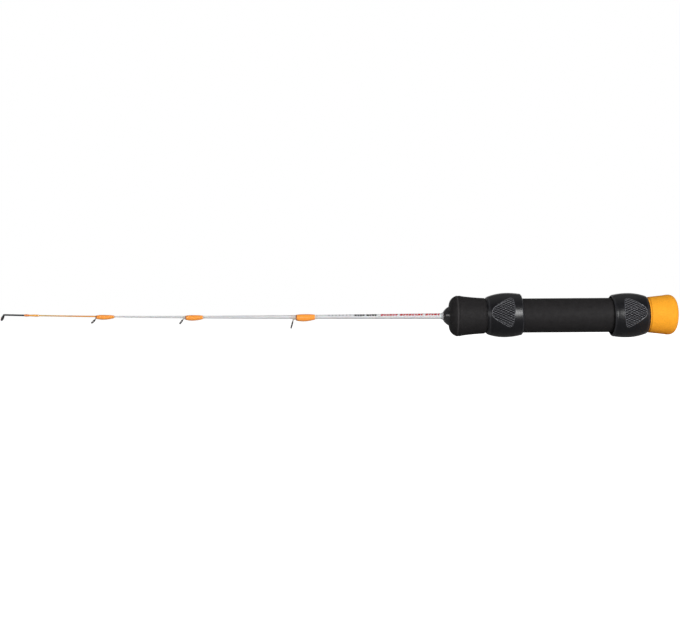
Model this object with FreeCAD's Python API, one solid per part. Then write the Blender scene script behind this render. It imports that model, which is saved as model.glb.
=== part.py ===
import FreeCAD, Part
import math
import os
from collections import namedtuple

# Ice fishing rod: a tapered solid blank with three line guides and a tip-top, a black foam handle with an
# orange foam butt, and two sliding rings that clamp the foot of a reel.
#
# Millimetres. +X runs along the handle towards the butt, +Z is up, and the line guides hang below the blank.
# The origin is on the handle's axis, midway between the mouths of the two rings, where the reel's foot sits.

# ---- Handle ----
grip_r = 12.7
grip_front_x = -86.8
grip_front_face_r = 7.6
grip_front_crest = (-80.6, 15.1)
grip_front_flare_middle = (-71.0, 13.9)
grip_joint_x = 50.0
butt_flare_middle = (68.3, 14.0)
butt_crest = (75.9, 14.8)
butt_end_x = 81.0
butt_face_r = 9.5
butt_face_dome = 0.35
flare_start_r = 13.2
flare_start_gap = 0.85          # from a ring's narrow end to the bulge of foam beside it
flare_lip = 0.35                # height and length of that bulge's rounded step
grip_bore_r = 3.2
grip_bore_end_x = 66.0

# ---- Sliding rings; distances along a ring are counted from its narrow end ----
ring_length = 26.4
ring_narrow_end_x = 59.7        # its distance from the origin, for both rings
ring_narrow_r = 13.75
ring_crown_at = 14.9
ring_crown_r = 16.42
ring_shoulder_at = 6.6
ring_shoulder_r = 15.6
ring_lip_at = 24.6
ring_lip_r = 15.5
ring_mouth_r = 14.45
ring_land_length = 3.0
ring_land_r = 12.84
ring_hollow_at = 12.0
ring_hollow_r = 14.0
ring_mouth_bore_r = 14.2
ring_edge = 0.35                # small bevel on the narrow end
front_ring_cant = 2.0           # degrees that each ring leans on the foam
rear_ring_cant = 1.0

# ---- Blank ----
blank_r = 2.05
blank_tip_r = 0.46
blank_slim_r = 0.53
blank_slim_x = -338.0
blank_taper_end_x = -100.0
blank_tip_x = -415.4
blank_end_x = 60.0
blank_sections = 27
bow_rise = 3.0                  # how far the tip springs up from the handle's axis
bow_length = 315.0

# ---- Nose cone ----
nose_tip_x = -91.3
nose_tip_r = 3.05
nose_belly = (-89.7, 5.25)
nose_base_r = 7.2
nose_spigot_length = 6.0
nose_bead_start_x = -92.9
nose_bead_end_x = -90.7
nose_bead_start_r = 2.2
nose_bead_end_r = 3.65
nose_bead_sag = 0.18            # how far its surface sinks below a straight line between its ends

# ---- Inside the handle ----
arbor_length = 12.0
arbor_starts = (-80.0, -40.0, 2.0, 46.0)
adhesive_gap = 1.5              # left between an arbor and the epoxy beside it

# ---- Line guides and their wraps ----
# wrap_x and wrap_length place the thread. eye_x and eye_z place the ring's centre from the wrap's tip-side
# end and the blank's axis. eye_r is the ring's outer radius, and lean is the ring's angle from upright. reach
# is how far the foot stands out of the thread. top and bottom are the thickness of the finished wrap over the
# blank and under it. tip_run and butt_run are how far the epoxy runs on past the thread.
Guide = namedtuple(
    "Guide",
    "name wrap_x wrap_length eye_x eye_z eye_r lean reach top bottom tip_run butt_run",
)
guides = (
    Guide("guide_1", -349.3, 14.0, -1.75, -3.80, 2.0, 45.0, 0.2, 0.77, 2.05, 0.5, 0.8),
    Guide("guide_2", -282.8, 13.4, -3.00, -3.64, 2.0, 36.0, 1.6, 0.62, 2.00, 1.7, 1.0),
    Guide("guide_3", -200.8, 14.6, -2.80, -5.87, 2.9, 15.0, 2.2, 0.67, 2.15, 3.6, 1.6),
)
eye_frame_thickness = 0.40
eye_frame_width = 0.90
eye_frame_bevel = 0.12
insert_thickness_share = 0.18   # of the ring's outer radius
insert_width = 1.10
insert_round = 0.30
foot_length = 10.0
foot_width = 1.10
foot_root_height = 0.72
foot_tip_height = 0.18
leg_r = 0.42
thread_share = 0.88             # of the finished wrap's thickness; the rest is clear epoxy
thread_margin = 0.30            # the thread stops this far inside the epoxy at each end
film_start_height = 0.10
# place along a wrap, then the share of the top and of the bottom thickness reached there
wrap_outline = (
    (0.00, 0.22, 0.64),
    (0.12, 0.66, 0.84),
    (0.32, 1.00, 1.00),
    (0.58, 0.98, 0.93),
    (0.84, 0.84, 0.62),
    (1.00, 0.30, 0.30),
)

# ---- Tip-top ----
tip_tube_r = 0.64
tip_tube_x = -417.4
tip_tube_length = 17.6
tip_eye_x = -0.95
tip_eye_z = -2.25
tip_eye_r = 2.3
tip_eye_lean = 22.0
# place along the tip wrap from the tip-side end, then the radius of the thread
tip_wrap_x = -402.2
tip_thread = (
    (0.0, 0.74),
    (1.1, 0.88),
    (2.4, 0.84),
    (3.9, 0.66),
    (5.6, 0.68),
    (8.2, 0.78),
    (9.8, 0.74),
    (10.8, 0.58),
)
tip_film = 0.10
tip_film_run = 0.4

origin = FreeCAD.Vector(0, 0, 0)
along = FreeCAD.Vector(1, 0, 0)
across = FreeCAD.Vector(0, 1, 0)


def spot(x, z):
    """A point in the rod's upright middle plane."""
    return FreeCAD.Vector(x, 0, z)


def line(start, end):
    return Part.makeLine(spot(*start), spot(*end))


def arc(start, middle, end):
    return Part.Arc(spot(*start), spot(*middle), spot(*end)).toShape()


def turned(edges):
    """Solid made by turning a closed outline once about the X axis."""
    outline = Part.Face(Part.Wire(edges))
    return outline.revolve(origin, along, 360)


def rounded_corner(inner, outer):
    """Middle point of a quarter ellipse from the flat face at inner to the crest at outer."""
    half = math.sqrt(0.5)
    return (outer[0] + (inner[0] - outer[0]) * half, inner[1] + (outer[1] - inner[1]) * half)


def lofted(sections):
    """Smooth solid through round sections, each (x, z of its centre, radius)."""
    rings = [Part.Wire(Part.makeCircle(radius, spot(x, z), along)) for x, z, radius in sections]
    return Part.makeLoft(rings, True, False)


def bow_height(x):
    """Height of the blank's axis: straight in the handle, then a bend that tightens towards the tip."""
    distance = max(blank_taper_end_x - x, 0.0)
    return bow_rise * (distance / bow_length) ** 3


def bow_angle(x):
    """Slope of the blank's axis in degrees, negative where it climbs towards the tip."""
    distance = max(blank_taper_end_x - x, 0.0)
    slope = -3.0 * bow_rise / bow_length * (distance / bow_length) ** 2
    return math.degrees(math.atan(slope))


def blank_radius(x):
    """Slim and nearly parallel at the tip, an even taper behind it, parallel into the handle."""
    if x >= blank_taper_end_x:
        return blank_r
    if x >= blank_slim_x:
        share = (x - blank_slim_x) / (blank_taper_end_x - blank_slim_x)
        return blank_slim_r + share * (blank_r - blank_slim_r)
    share = (x - blank_tip_x) / (blank_slim_x - blank_tip_x)
    return blank_tip_r + share * (blank_slim_r - blank_tip_r)


def on_blank(shape, x):
    """Move a piece, made about the origin along X, to the blank's axis at x and lay it along the bow."""
    turn = FreeCAD.Rotation(across, -bow_angle(x))
    placed = shape.copy()
    placed.Placement = FreeCAD.Placement(spot(x, bow_height(x)), turn).multiply(placed.Placement)
    return placed


def make_blank():
    """Loft the bowed stretch through circles square to its axis, and run it straight on into the handle."""
    rings = []
    for index in range(blank_sections):
        x = blank_tip_x + (blank_taper_end_x - blank_tip_x) * index / (blank_sections - 1)
        angle = math.radians(bow_angle(x))
        normal = FreeCAD.Vector(math.cos(angle), 0, math.sin(angle))
        rings.append(Part.Wire(Part.makeCircle(blank_radius(x), spot(x, bow_height(x)), normal)))
    bowed = Part.makeLoft(rings, True, False)
    run = blank_end_x - blank_taper_end_x
    straight = Part.makeCylinder(blank_r, run, spot(blank_taper_end_x, 0), along)
    return bowed.fuse(straight)


def make_main_grip():
    """Black foam: rounded front face, flare down to the parallel grip, and a bore right through."""
    face = (grip_front_x, grip_front_face_r)
    lip_x = -ring_narrow_end_x - flare_start_gap
    lip_top = (lip_x - flare_lip, flare_start_r)
    lip_foot = (lip_x, grip_r)
    edges = [
        line((grip_front_x, grip_bore_r), face),
        arc(face, rounded_corner(face, grip_front_crest), grip_front_crest),
        arc(grip_front_crest, grip_front_flare_middle, lip_top),
        line(lip_top, lip_foot),
        line(lip_foot, (grip_joint_x, grip_r)),
        line((grip_joint_x, grip_r), (grip_joint_x, grip_bore_r)),
        line((grip_joint_x, grip_bore_r), (grip_front_x, grip_bore_r)),
    ]
    return turned(edges)


def make_butt_grip():
    """Orange foam: carries the parallel grip on, flares to a rounded closed end, and has a blind bore."""
    face_x = butt_end_x - butt_face_dome
    face = (face_x, butt_face_r)
    lip_x = ring_narrow_end_x + flare_start_gap
    lip_top = (lip_x + flare_lip, flare_start_r)
    lip_foot = (lip_x, grip_r)
    dome_r = (butt_face_r ** 2 + butt_face_dome ** 2) / (2 * butt_face_dome)
    half_turn = math.asin(butt_face_r / dome_r) / 2
    dome_middle = (butt_end_x - dome_r * (1 - math.cos(half_turn)), dome_r * math.sin(half_turn))
    edges = [
        line((grip_joint_x, grip_bore_r), (grip_joint_x, grip_r)),
        line((grip_joint_x, grip_r), lip_foot),
        line(lip_foot, lip_top),
        arc(lip_top, butt_flare_middle, butt_crest),
        arc(butt_crest, rounded_corner(face, butt_crest), face),
        arc(face, dome_middle, (butt_end_x, 0)),
        line((butt_end_x, 0), (grip_bore_end_x, 0)),
        line((grip_bore_end_x, 0), (grip_bore_end_x, grip_bore_r)),
        line((grip_bore_end_x, grip_bore_r), (grip_joint_x, grip_bore_r)),
    ]
    return turned(edges)


def make_ring():
    """Barrel-shaped clamp ring: a short close-fitting land at its narrow end, opening to a wide mouth."""
    narrow_inner = (0, ring_land_r)
    narrow_face = (0, ring_narrow_r - ring_edge)
    narrow_outer = (ring_edge, ring_narrow_r)
    shoulder = (ring_shoulder_at, ring_shoulder_r)
    crown = (ring_crown_at, ring_crown_r)
    lip = (ring_lip_at, ring_lip_r)
    mouth = (ring_length, ring_mouth_r)
    mouth_inner = (ring_length, ring_mouth_bore_r)
    hollow = (ring_hollow_at, ring_hollow_r)
    land_end = (ring_land_length, ring_land_r)
    crown_to_lip = ring_lip_at - ring_crown_at
    brow = (ring_crown_at + crown_to_lip / 2, ring_crown_r - (ring_crown_r - ring_lip_r) / 4)
    edges = [
        line(narrow_inner, narrow_face),
        line(narrow_face, narrow_outer),
        arc(narrow_outer, shoulder, crown),
        arc(crown, brow, lip),
        arc(lip, rounded_corner(mouth, lip), mouth),
        line(mouth, mouth_inner),
        line(mouth_inner, hollow),
        line(hollow, land_end),
        line(land_end, narrow_inner),
    ]
    return turned(edges)


def seat_ring(ring, end, cant):
    """Put a ring on the handle, end -1 towards the tip and 1 towards the butt, leaning about its land."""
    seated = ring.copy()
    if end > 0:
        seated.rotate(origin, FreeCAD.Vector(0, 0, 1), 180)
    seated.translate(spot(end * ring_narrow_end_x, 0))
    land_middle = spot(end * (ring_narrow_end_x - ring_land_length / 2), 0)
    seated.rotate(land_middle, across, -cant)
    return seated


def make_nose_cone():
    """Glossy dome against the front of the grip, with a spigot in the grip's bore."""
    tip = (nose_tip_x, nose_tip_r)
    base = (grip_front_x, nose_base_r)
    spigot_end_x = grip_front_x + nose_spigot_length
    edges = [
        line((nose_tip_x, 0), tip),
        arc(tip, nose_belly, base),
        line(base, (grip_front_x, grip_bore_r)),
        line((grip_front_x, grip_bore_r), (spigot_end_x, grip_bore_r)),
        line((spigot_end_x, grip_bore_r), (spigot_end_x, 0)),
        line((spigot_end_x, 0), (nose_tip_x, 0)),
    ]
    return turned(edges)


def make_nose_bead():
    """Fillet of clear epoxy between blank and nose cone; the cone and the blank are cut out of it."""
    start = (nose_bead_start_x, nose_bead_start_r)
    end = (nose_bead_end_x, nose_bead_end_r)
    middle_r = (nose_bead_start_r + nose_bead_end_r) / 2
    hollow = ((nose_bead_start_x + nose_bead_end_x) / 2, middle_r - nose_bead_sag)
    edges = [
        line((nose_bead_start_x, 0), start),
        arc(start, hollow, end),
        line(end, (nose_bead_end_x, 0)),
        line((nose_bead_end_x, 0), (nose_bead_start_x, 0)),
    ]
    return turned(edges)


def sleeve(start_x, end_x):
    """Straight piece that fills the space between the blank and the grips' bore."""
    length = end_x - start_x
    outside = Part.makeCylinder(grip_bore_r, length, spot(start_x, 0), along)
    return outside.cut(Part.makeCylinder(blank_r, length, spot(start_x, 0), along))


def make_arbors():
    return Part.makeCompound([sleeve(start, start + arbor_length) for start in arbor_starts])


def make_adhesive():
    """Epoxy in the spaces between one arbor and the next."""
    fills = []
    for before, after in zip(arbor_starts, arbor_starts[1:]):
        fills.append(sleeve(before + arbor_length + adhesive_gap, after - adhesive_gap))
    return Part.makeCompound(fills)


def stood_up(shape, x, z, lean):
    """Lean a ring made about the X axis, its foot towards the tip, and move its centre to x, z."""
    placed = shape.copy()
    placed.rotate(origin, across, lean)
    placed.translate(spot(x, z))
    return placed


def insert_bore_r(outer_r):
    return outer_r - eye_frame_thickness - insert_thickness_share * outer_r


def make_eye_frame(outer_r):
    """Flat hoop that holds the insert."""
    half = eye_frame_width / 2
    inner_r = outer_r - eye_frame_thickness
    crown_r = outer_r - eye_frame_bevel
    edges = [
        line((-half, inner_r), (-half, crown_r)),
        line((-half, crown_r), (eye_frame_bevel - half, outer_r)),
        line((eye_frame_bevel - half, outer_r), (half - eye_frame_bevel, outer_r)),
        line((half - eye_frame_bevel, outer_r), (half, crown_r)),
        line((half, crown_r), (half, inner_r)),
        line((half, inner_r), (-half, inner_r)),
    ]
    return turned(edges)


def make_eye_insert(outer_r):
    """Hard ring pressed into the hoop: its bore has a short straight wall between two rounded lips."""
    seat_r = outer_r - eye_frame_thickness
    bore_r = insert_bore_r(outer_r)
    half = insert_width / 2
    turn = insert_round * (1 - math.sqrt(0.5))
    shoulder_r = bore_r + insert_round
    edges = [
        line((-half, seat_r), (-half, shoulder_r)),
        arc((-half, shoulder_r), (turn - half, bore_r + turn), (insert_round - half, bore_r)),
        line((insert_round - half, bore_r), (half - insert_round, bore_r)),
        arc((half - insert_round, bore_r), (half - turn, bore_r + turn), (half, shoulder_r)),
        line((half, shoulder_r), (half, seat_r)),
        line((half, seat_r), (-half, seat_r)),
    ]
    return turned(edges)


def rod_between(start, end, radius):
    """Round bar with ball ends."""
    run = end - start
    bar = Part.makeCylinder(radius, run.Length, start, run)
    return bar.fuse([Part.makeSphere(radius, start), Part.makeSphere(radius, end)])


def wrap_sections(guide, share, margin, film):
    """Round sections of a guide's wrap: share scales its thickness, margin shortens it, film is a floor."""
    radius = blank_radius(guide.wrap_x + guide.wrap_length / 2)
    run = guide.wrap_length - 2 * margin
    sections = []
    for place, top_share, bottom_share in wrap_outline:
        top = radius + max(guide.top * top_share * share, film)
        bottom = radius + max(guide.bottom * bottom_share * share, film)
        sections.append((margin + place * run, (top - bottom) / 2, (top + bottom) / 2))
    return sections


def make_guide(guide, blank):
    """The frame, insert, thread and clear epoxy of one guide, each cut to fit the pieces under it."""
    radius = blank_radius(guide.wrap_x)
    root_z = -radius - foot_root_height
    tip_z = -radius - foot_tip_height
    side = [
        spot(-guide.reach, -radius / 2),
        spot(-guide.reach, root_z),
        spot(foot_length, tip_z),
        spot(foot_length, -radius / 2),
        spot(-guide.reach, -radius / 2),
    ]
    foot = Part.Face(Part.makePolygon(side)).extrude(across * foot_width)
    foot.translate(across * (-foot_width / 2))

    lean = math.radians(guide.lean)
    hoop_middle_r = guide.eye_r - eye_frame_thickness / 2
    hoop_top_x = guide.eye_x + hoop_middle_r * math.sin(lean)
    hoop_top = spot(hoop_top_x, guide.eye_z + hoop_middle_r * math.cos(lean))
    leg = rod_between(spot(leg_r - guide.reach, -radius - foot_root_height / 2), hoop_top, leg_r)
    window_r = guide.eye_r - eye_frame_thickness
    window = Part.makeCylinder(window_r, 2 * guide.eye_r, spot(-guide.eye_r, 0), along)
    hoop = make_eye_frame(guide.eye_r)
    frame = foot.fuse([leg]).cut(stood_up(window, guide.eye_x, guide.eye_z, guide.lean))
    frame = frame.fuse([stood_up(hoop, guide.eye_x, guide.eye_z, guide.lean)])
    frame = on_blank(frame, guide.wrap_x).cut(blank).removeSplitter()

    insert = stood_up(make_eye_insert(guide.eye_r), guide.eye_x, guide.eye_z, guide.lean)
    insert = on_blank(insert, guide.wrap_x)

    thread = lofted(wrap_sections(guide, thread_share, thread_margin, film_start_height))
    thread = on_blank(thread, guide.wrap_x)

    film = wrap_sections(guide, 1.0, 0.0, film_start_height)
    radius_at_tip = radius + film_start_height
    radius_at_butt = blank_radius(guide.wrap_x + guide.wrap_length) + film_start_height
    film.insert(0, (-guide.tip_run, 0, radius_at_tip))
    film.append((guide.wrap_length + guide.butt_run, 0, radius_at_butt))
    finish = on_blank(lofted(film), guide.wrap_x)
    finish = finish.cut([thread, blank, frame])
    thread = thread.cut([blank, frame])
    return {
        guide.name + "_frame": frame,
        guide.name + "_insert": insert,
        guide.name + "_wrap": thread,
        guide.name + "_finish": finish,
    }


def make_tip_top(blank):
    """Tube that caps the blank's tip, the ring under its end, and the thread and epoxy behind it."""
    tube = Part.makeCylinder(tip_tube_r, tip_tube_length, origin, along)
    cap = Part.makeSphere(tip_tube_r, origin)
    window = Part.makeCylinder(tip_eye_r - eye_frame_thickness, 2 * tip_eye_r, spot(-tip_eye_r, 0), along)
    hoop = make_eye_frame(tip_eye_r)
    frame = tube.fuse([cap]).cut(stood_up(window, tip_eye_x, tip_eye_z, tip_eye_lean))
    frame = frame.fuse([stood_up(hoop, tip_eye_x, tip_eye_z, tip_eye_lean)])
    frame = on_blank(frame, tip_tube_x).cut(blank).removeSplitter()
    insert = on_blank(stood_up(make_eye_insert(tip_eye_r), tip_eye_x, tip_eye_z, tip_eye_lean), tip_tube_x)

    thread = lofted([(place, 0, radius) for place, radius in tip_thread])
    film = [(place, 0, radius + tip_film) for place, radius in tip_thread]
    first_place, first_radius = tip_thread[0]
    last_place, last_radius = tip_thread[-1]
    film.insert(0, (first_place - tip_film_run, 0, tip_tube_r + tip_film / 2))
    film.append((last_place + tip_film_run, 0, blank_radius(tip_wrap_x + last_place) + tip_film / 2))
    thread = on_blank(thread, tip_wrap_x)
    finish = on_blank(lofted(film), tip_wrap_x).cut([thread, blank, frame])
    thread = thread.cut([blank, frame])
    return {
        "tip_top_frame": frame,
        "tip_top_insert": insert,
        "tip_wrap": thread,
        "tip_finish": finish,
    }


def make_rod():
    blank = make_blank()
    nose_cone = make_nose_cone().cut(blank)
    ring = make_ring()
    nodes = {
        "blank": blank,
        "main_grip": make_main_grip(),
        "butt_grip": make_butt_grip(),
        "nose_cone": nose_cone,
        "nose_bead": make_nose_bead().cut([blank, nose_cone]),
        "grip_arbors": make_arbors(),
        "grip_adhesive": make_adhesive(),
        "front_ring": seat_ring(ring, -1, front_ring_cant),
        "rear_ring": seat_ring(ring, 1, rear_ring_cant),
    }
    nodes.update(make_tip_top(blank))
    for guide in guides:
        nodes.update(make_guide(guide, blank))
    return nodes


os.makedirs("parts", exist_ok=True)
for node, shape in make_rod().items():
    if not shape.isValid() or shape.Volume <= 0:
        raise RuntimeError(node + " is not a sound solid")
    print(node, "solids", len(shape.Solids), "volume", round(shape.Volume, 2))
    shape.exportStep("parts/" + node + ".step")
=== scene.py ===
import math

import bmesh
import bpy
import numpy as np
from mathutils import Matrix, Vector, noise
from mathutils.bvhtree import BVHTree


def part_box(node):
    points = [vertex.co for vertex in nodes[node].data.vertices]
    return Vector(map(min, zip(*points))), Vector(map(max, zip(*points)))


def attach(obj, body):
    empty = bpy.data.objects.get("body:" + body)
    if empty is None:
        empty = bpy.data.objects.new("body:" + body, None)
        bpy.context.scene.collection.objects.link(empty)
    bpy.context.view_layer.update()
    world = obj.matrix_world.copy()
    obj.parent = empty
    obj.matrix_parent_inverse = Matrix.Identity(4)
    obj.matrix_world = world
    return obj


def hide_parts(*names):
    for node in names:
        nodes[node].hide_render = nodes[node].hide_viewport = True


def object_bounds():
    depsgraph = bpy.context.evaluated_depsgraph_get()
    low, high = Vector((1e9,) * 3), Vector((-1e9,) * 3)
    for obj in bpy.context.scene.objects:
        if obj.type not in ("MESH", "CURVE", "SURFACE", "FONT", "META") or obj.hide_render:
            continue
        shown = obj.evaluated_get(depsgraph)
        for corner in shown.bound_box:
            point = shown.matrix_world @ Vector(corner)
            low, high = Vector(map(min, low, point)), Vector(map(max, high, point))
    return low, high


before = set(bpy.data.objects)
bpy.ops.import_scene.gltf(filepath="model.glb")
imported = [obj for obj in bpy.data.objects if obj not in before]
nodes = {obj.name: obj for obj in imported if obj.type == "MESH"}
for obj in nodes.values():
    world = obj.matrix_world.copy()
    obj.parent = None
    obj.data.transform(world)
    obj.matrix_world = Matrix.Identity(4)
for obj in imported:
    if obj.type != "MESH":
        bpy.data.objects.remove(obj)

# The looks of an ice fishing rod around its CAD frame: ground foam, moulded clamp rings with a raised net,
# wound thread under clear epoxy, a painted and marked fibreglass blank, and the studio. Metres, in the
# frame's axes: +X runs to the butt, +Z is up, and the camera looks along +Y.

cad_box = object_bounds()
MM = 0.001
FULL_TURN = 2 * math.pi
SAME_PLACE = 1e-7
CLOSE_TO = 10 * SAME_PLACE
SHARP_EDGE = math.radians(40)
SHARP_RING_EDGE = math.radians(60)
SHARP_THREAD_EDGE = math.radians(100)    # so that the grooves between turns of thread stay smooth

# ---- Camera and studio ----
CAMERA_DISTANCE = 0.85                    # in front of the rod's upright middle plane
CAMERA_RIGHT_OF_MIDDLE = 1.5 * MM
CAMERA_HEIGHT = 1.33 * MM
CAMERA_ROLL = math.radians(0.39)
VIEW_WIDTH = 505 * MM
SENSOR_WIDTH = 36.0
CLIP_START = 10 * MM
WHITE = (1.0, 1.0, 1.0, 1.0)
AMBIENT = 0.19
FLOOR_HALF = 4.0
FLOOR_GREY = (0.66, 0.66, 0.66, 1.0)
FLOOR_GLOW = 0.96
LIGHTS = (                                # name, place and aim from the rod's middle, width and height, watts
    ("front_panel", (0.0, -1.10, 0.15), (0.0, 0.0, 0.0), (3.0, 0.50), 8.2),
    ("key_panel", (0.55, -0.96, 0.14), (0.1, 0.0, 0.0), (0.46, 0.52), 12.5),
    ("left_panel", (-1.15, -0.55, 0.20), (0.08, 0.0, 0.0), (0.9, 0.36), 3.0),
    ("back_panel", (0.0, 1.10, 0.40), (0.0, 0.0, 0.0), (2.4, 0.4), 1.6),
    ("top_panel", (0.0, 0.15, 1.2), (0.0, 0.0, 0.0), (1.6, 1.2), 1.4),
)

# ---- Colours: the darker and the lighter shade of each material ----
BLACK_FOAM = ((0.0102, 0.0094, 0.0098), (0.0152, 0.0141, 0.0146))
ORANGE_FOAM = ((0.74, 0.300, 0.019), (0.79, 0.330, 0.022))
PIT_SHADE_SHARE = 0.55                          # of the darker foam shade, painted as shade in a cut cell
GLINT_SHARE = 2.6                          # and of the lighter one along the crest line, as a painted glint
RING_PLASTIC = ((0.0020, 0.0020, 0.0032), (0.0036, 0.0036, 0.0050))
# Colour of the painted highlight on the net's ridges, its border and the ring's edges.
HIGHLIGHT_PLASTIC = (0.105, 0.105, 0.118)
DULL = (0.95, 0.95, 0.95)                 # roughness in the net's dimples
NOSE_PLASTIC = (0.012, 0.012, 0.013)
GLASS_FIBRE = ((0.50, 0.50, 0.51), (0.60, 0.60, 0.61))
ORANGE_PAINT = ((0.64, 0.245, 0.024), (0.72, 0.285, 0.032))
THIN_PAINT = (0.60, 0.36, 0.085)
GREY_INK = ((0.15, 0.15, 0.15), (0.22, 0.22, 0.23))
BLACK_INK = ((0.004, 0.004, 0.004), (0.010, 0.010, 0.010))
RED_INK = ((0.30, 0.004, 0.010), (0.45, 0.008, 0.018))
ORANGE_THREAD = ((0.84, 0.27, 0.012), (0.95, 0.36, 0.026))
TRIM_THREAD = ((0.16, 0.020, 0.006), (0.30, 0.050, 0.014))
TIP_THREAD = ((0.74, 0.32, 0.022), (0.88, 0.41, 0.040))
TIP_TRIM_THREAD = ((0.66, 0.19, 0.035), (0.80, 0.26, 0.055))
CLEAR_EPOXY = ((0.93, 0.44, 0.16), (0.97, 0.54, 0.24))
BEAD_EPOXY = ((0.50, 0.50, 0.51), (0.62, 0.62, 0.63))
GUIDE_STEEL = ((0.25, 0.247, 0.245), (0.37, 0.365, 0.36))
HARD_RING = ((0.010, 0.010, 0.011), (0.022, 0.021, 0.021))
BLACK_METAL = ((0.020, 0.020, 0.022), (0.045, 0.045, 0.048))
ARBOR_PLASTIC = ((0.60, 0.52, 0.36), (0.74, 0.65, 0.47))
HANDLE_EPOXY = ((0.62, 0.50, 0.26), (0.78, 0.66, 0.38))

# ---- Blank: the same taper and bow as in the CAD ----
BLANK_R = 2.05 * MM
BLANK_TIP_R = 0.46 * MM
BLANK_TIP_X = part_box("blank")[0].x
BLANK_SLIM_R = 0.53 * MM
BLANK_SLIM_X = -338 * MM
BLANK_TAPER_END_X = -100 * MM
BOW_RISE = 3.0 * MM
BOW_LENGTH = 315 * MM
THIN_PAINT_X = -385 * MM                  # the paint is thin from here to the tip
FULL_PAINT_X = -363 * MM                  # and full from here on
PAINT_EDGE = 0.4 * MM                     # half the width over which the paint fades out
BLANK_ROW_STEP = 1.0 * MM
BLANK_COLUMNS = 40

# ---- Printed marks on the blank: each row starts at a distance in front of the nose ----
MARK_TURN = math.radians(48)              # how far up the blank's front the marks sit
MARK_LIFT = 0.012 * MM
MARK_ROWS = 5
MARK_COLUMNS = 9
SCALE_START = 83.5 * MM
SCALE_TICKS = (0.8 * MM,) * 7
SCALE_GAP = 1.8 * MM
SCALE_HEIGHT = 1.2 * MM
BLOCK_START = 64.2 * MM
BLOCK_WIDTHS = (1.75 * MM, 1.25 * MM, 1.6 * MM, 1.35 * MM)
BLOCK_GROUPS = 2
BLOCK_GAPS = (0.48 * MM, 1.02 * MM)       # between blocks, and what a new group adds to that
BLOCK_HEIGHT = 2.1 * MM
BAR_START = 44.6 * MM
BAR_WIDTHS = (1.9 * MM, 1.35 * MM, 1.35 * MM)
BAR_COUNTS = (6, 8, 5)
BAR_GAPS = (0.62 * MM, 1.4 * MM)
BAR_HEIGHT = 2.1 * MM
BAR_SLANT = 0.8 * MM

# ---- Foam ----
GRIP_BORE_R = 3.2 * MM
GRIP_BORE_STEP = 4 * MM
FOAM_STEP = 0.38 * MM
FOAM_COLUMNS = 188
FOAM_WAVE = (9.0 * MM, 0.022 * MM)        # width and height of the ground surface's slow waves
FOAM_GRAIN = (1.3 * MM, 0.009 * MM)       # and of its grain
SEAM_CALM = (0.5 * MM, 2 * MM)            # no waves this near the seam between the grips, full ones this far
CREST_BEAD = (-1.1 * MM, 0.40 * MM, 0.06 * MM)    # a turning mark on the front crest: place, width, height
CREST_GROOVE = (0.1 * MM, 0.40 * MM, -0.26 * MM)  # of its bead, and of the groove behind it

# ---- Clamp rings, in their own frame: narrow end at the origin, mouth towards +X ----
RING_NARROW_END = 59.7 * MM
RING_LAND = 3.0 * MM
RING_CANT = {"front_ring": math.radians(2.0), "rear_ring": math.radians(1.0)}
RING_BORE = ((0.0, 12.84), (3.0, 12.84), (12.0, 14.0), (26.4, 14.2))   # along and radius, in millimetres
RING_STEP = 0.16 * MM
RING_EASE = 14                            # passes that round the outside's small corners
RING_BORE_STEP = 0.8 * MM
RING_WALL = 0.1 * MM                      # an outline point this far out from the bore is on the outside
RING_FINE_TURN = math.radians(0.56)       # between columns over a patch
RING_COARSE_TURN = math.radians(2.4)      # and between the patches
COLLAR = (0.85 * MM, 1.25 * MM, 0.22 * MM)   # the narrow end's step: its start, its end, its height
PATCH_R = 16.2 * MM                          # distances around a patch are measured at this radius
PATCH_HALF_WIDTH = 11.8 * MM
PATCH_DISCS = (                              # a band round these is the patch's edge: along, around, radius
    (9.3 * MM, 0.0, 6.5 * MM),
    (17.6 * MM, 0.0, 2.3 * MM),
    (17.35 * MM, 5.0 * MM, 2.3 * MM),
    (17.35 * MM, -5.0 * MM, 2.3 * MM),
    (16.6 * MM, 9.45 * MM, 2.25 * MM),
    (16.6 * MM, -9.45 * MM, 2.25 * MM),
)
PATCH_DIRECTIONS = 120
PATCH_UP = math.radians(8.4)                 # how far its middle is turned up from the ring's side
PATCH_SHEAR = {"front_ring": 0.07, "rear_ring": 0.0}   # how far it leans along for each metre around
BORDER = (0.28 * MM, 0.24 * MM, 0.14 * MM)   # the inset of its middle, its half width, its height
BORDER_TOP = 0.4                             # share of the border's half width that is flat
BORDER_HIGHLIGHT = 0.7                           # how strong a highlight is painted on it
NET_EDGE = (0.5, 1.3)                        # the net begins and is full this many half widths inside it
NET_CELL = (3.7 * MM, 1.85 * MM)
NET_HALF_WIDTH = (0.09 * MM, 0.30 * MM)      # of a ridge's flat top and of its foot
NET_DEPTH = 0.36 * MM                        # how deep its ground is sunk
NET_RIDGE = 0.40 * MM                        # how high its ridges stand on that ground
NET_HIGHLIGHT = (0.65, 0.35)                     # painted highlight on a ridge, and what a crossing of two adds to it
EDGE_HIGHLIGHT = ((1.6 * MM, 0.5 * MM, 0.14), (25.9 * MM, 0.5 * MM, 0.14))   # painted highlight on the ends' edges: place, half width, share

# ---- Thread and epoxy ----
THREAD_PITCH = 0.17 * MM
THREAD_DEPTH = 0.050 * MM
THREAD_SAMPLES = 6                        # rows of points for each turn
THREAD_COLUMNS = 48
TRIM_TURNS = 4                            # turns in the trim colour at a wrap's tip side
TIP_TRIM_TURNS = 22
COAT_STEP = 0.16 * MM
COAT_COLUMNS = 48
COAT_WAVE = (2.4 * MM, 0.020 * MM)        # width and height
COAT_END = 0.45 * MM                      # a coat rises from the blank over this length
SKIN_PASSES = 2                           # of smoothing over the CAD's facets
SKIN_REACH = 20 * MM                      # farther from the blank than any wrap reaches
GUIDE_NAMES = ("guide_1", "guide_2", "guide_3")


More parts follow.
